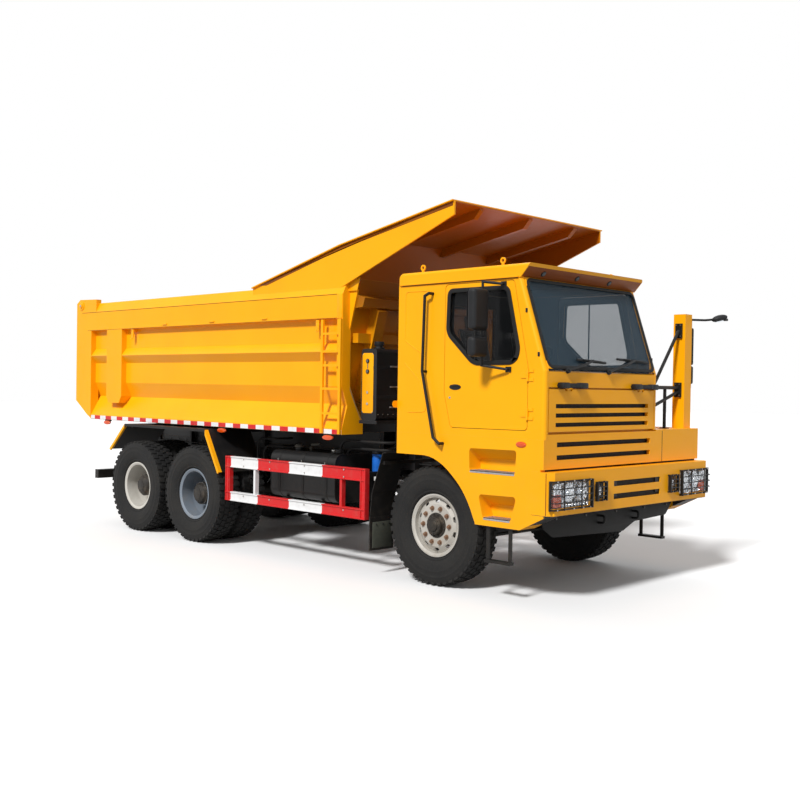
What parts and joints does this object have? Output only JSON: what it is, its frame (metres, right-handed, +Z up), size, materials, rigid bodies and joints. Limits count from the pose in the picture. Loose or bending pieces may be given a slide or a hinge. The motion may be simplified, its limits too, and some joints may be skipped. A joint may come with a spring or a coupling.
{
  "type": "mining dump truck",
  "caption": "Wide-body off-road dump truck with a side-set cab, ribbed tipping load bed with cab shield, front hoist, twin rear axles, steering front wheels, doors and hood flap that open.",
  "frame": {"origin": "on the ground, under the middle of the bounding box over mirrors and bumper", "axes": "-Y is the front, +Y the tail, -X the truck's right-hand side where the cab is, +Z up"},
  "size_m": [3.97, 9.961, 4.3668],
  "materials": {
    "body_paint": "gloss yellow paint",
    "chassis_black": "satin black paint",
    "cast_grey": "rough casting",
    "guard_paint": "red and white bands",
    "lamp_lens": "clear moulded lens",
    "window_glass": "tinted safety glass",
    "cabin_plastic": "moulded plastic",
    "seat_fabric": "woven cloth",
    "tyre_rubber": "rubber",
    "rim_silver": "silver paint",
    "polished_steel": "hard chrome"
  },
  "bodies": {
    "chassis": {"ladder_frame": "chassis_black", "front_axle": "chassis_black", "leaf_springs": "chassis_black", "drive_axles": "chassis_black", "prop_shaft": "chassis_black", "engine_block": "cast_grey", "tanks": "chassis_black", "side_guards": "guard_paint", "mudguards": "body_paint", "bumper": "body_paint", "lamps": "lamp_lens", "lamp_guards": "chassis_black", "grille_panel": "body_paint", "side_steps": "body_paint", "deck": "body_paint", "deck_post": "body_paint", "deck_rails": "chassis_black", "hand_rails": "chassis_black", "cab_sides": "body_paint", "cab_tub": "body_paint", "cab_roof": "body_paint", "cab_glass": "window_glass", "dashboard": "cabin_plastic", "seats": "seat_fabric"},
    "left_door": {"door_left": "body_paint", "door_pane_left": "window_glass"},
    "right_door": {"door_right": "body_paint", "door_pane_right": "window_glass", "cab_mirrors": "cabin_plastic"},
    "hood": {"hood_flap": "body_paint"},
    "bed": {"bed_sides": "body_paint", "bed_floor": "body_paint", "headboard": "body_paint", "canopy": "body_paint", "ladder": "body_paint"},
    "gate": {"tailgate": "body_paint"},
    "barrel": {"hoist_barrel": "chassis_black"},
    "stage_low": {"hoist_stage_low": "polished_steel"},
    "stage_high": {"hoist_stage_high": "polished_steel"},
    "stage_rod": {"hoist_rod": "polished_steel"},
    "steer_left": {"knuckle_left": "chassis_black"},
    "steer_right": {"knuckle_right": "chassis_black"},
    "track_rod": {"tie_rod": "chassis_black"},
    "wheel_front_left": {"front_rim_left": "rim_silver", "front_tyre_left": "tyre_rubber"},
    "wheel_front_right": {"front_rim_right": "rim_silver", "front_tyre_right": "tyre_rubber"},
    "wheels_mid_left": {"mid_rims_left": "rim_silver", "mid_tyres_left": "tyre_rubber"},
    "wheels_mid_right": {"mid_rims_right": "rim_silver", "mid_tyres_right": "tyre_rubber"},
    "wheels_rear_left": {"rear_rims_left": "rim_silver", "rear_tyres_left": "tyre_rubber"},
    "wheels_rear_right": {"rear_rims_right": "rim_silver", "rear_tyres_right": "tyre_rubber"}
  },
  "joints": [
    {"name": "bed_tip", "type": "hinge", "parent": "chassis", "child": "bed", "pos_m": [0, 4.065, 1.48], "axis": [-1, 0, 0], "range_deg": [0, 45]},
    {"name": "gate_swing", "type": "hinge", "parent": "bed", "child": "gate", "pos_m": [0, 4.815, 3.57], "axis": [1, 0, 0], "range_deg": [0, 60]},
    {"name": "hoist_swing", "type": "hinge", "parent": "chassis", "child": "barrel", "pos_m": [0, -2.005, 1.15], "axis": [-1, 0, 0], "range_deg": [0, 22.6]},
    {"name": "hoist_low_slide", "type": "slide", "parent": "barrel", "child": "stage_low", "axis": [0, 0.094, 0.9956], "range_m": [0, 1.505]},
    {"name": "hoist_high_slide", "type": "slide", "parent": "stage_low", "child": "stage_high", "axis": [0, 0.094, 0.9956], "range_m": [0, 1.505]},
    {"name": "hoist_rod_slide", "type": "slide", "parent": "stage_high", "child": "stage_rod", "axis": [0, 0.094, 0.9956], "range_m": [0, 1.505]},
    {"name": "left_door_swing", "type": "hinge", "parent": "chassis", "child": "left_door", "pos_m": [0.569, -4.622, 2.2], "axis": [0, 0, -1], "range_deg": [0, 70]},
    {"name": "right_door_swing", "type": "hinge", "parent": "chassis", "child": "right_door", "pos_m": [-1.6325, -4.622, 2.2], "axis": [0, 0, 1], "range_deg": [0, 70]},
    {"name": "hood_lift", "type": "hinge", "parent": "chassis", "child": "hood", "pos_m": [-0.5, -4.829, 2.266], "axis": [-1, 0, 0], "range_deg": [0, 75]},
    {"name": "steer_right_turn", "type": "hinge", "parent": "chassis", "child": "steer_right", "pos_m": [-1.08, -3.185, 0.685], "axis": [0, 0, 1], "range_deg": [-32, 32]},
    {"name": "steer_left_turn", "type": "hinge", "parent": "chassis", "child": "steer_left", "pos_m": [1.08, -3.185, 0.685], "axis": [0, 0, 1], "range_deg": [-32, 32]},
    {"name": "track_rod_slide", "type": "slide", "parent": "chassis", "child": "track_rod", "axis": [1, 0, 0], "range_m": [-0.13, 0.13]},
    {"name": "front_left_roll", "type": "hinge", "parent": "steer_left", "child": "wheel_front_left", "pos_m": [1.298, -3.185, 0.685], "axis": [1, 0, 0], "continuous": true},
    {"name": "front_right_roll", "type": "hinge", "parent": "steer_right", "child": "wheel_front_right", "pos_m": [-1.298, -3.185, 0.685], "axis": [1, 0, 0], "continuous": true},
    {"name": "mid_left_roll", "type": "hinge", "parent": "chassis", "child": "wheels_mid_left", "pos_m": [1.2625, 1.315, 0.685], "axis": [1, 0, 0], "continuous": true},
    {"name": "mid_right_roll", "type": "hinge", "parent": "chassis", "child": "wheels_mid_right", "pos_m": [-1.2625, 1.315, 0.685], "axis": [1, 0, 0], "continuous": true},
    {"name": "rear_left_roll", "type": "hinge", "parent": "chassis", "child": "wheels_rear_left", "pos_m": [1.2625, 2.815, 0.685], "axis": [1, 0, 0], "continuous": true},
    {"name": "rear_right_roll", "type": "hinge", "parent": "chassis", "child": "wheels_rear_right", "pos_m": [-1.2625, 2.815, 0.685], "axis": [1, 0, 0], "continuous": true}
  ],
  "couplings": [
    {"joint": "hoist_swing", "follows": "bed_tip", "ratio": 0.5007},
    {"joint": "hoist_low_slide", "follows": "bed_tip", "m_per_rad": 1.9134},
    {"joint": "hoist_high_slide", "follows": "bed_tip", "m_per_rad": 1.9134},
    {"joint": "hoist_rod_slide", "follows": "bed_tip", "m_per_rad": 1.9134},
    {"joint": "steer_left_turn", "follows": "steer_right_turn", "ratio": 1},
    {"joint": "track_rod_slide", "follows": "steer_right_turn", "m_per_rad": -0.2277}
  ]
}
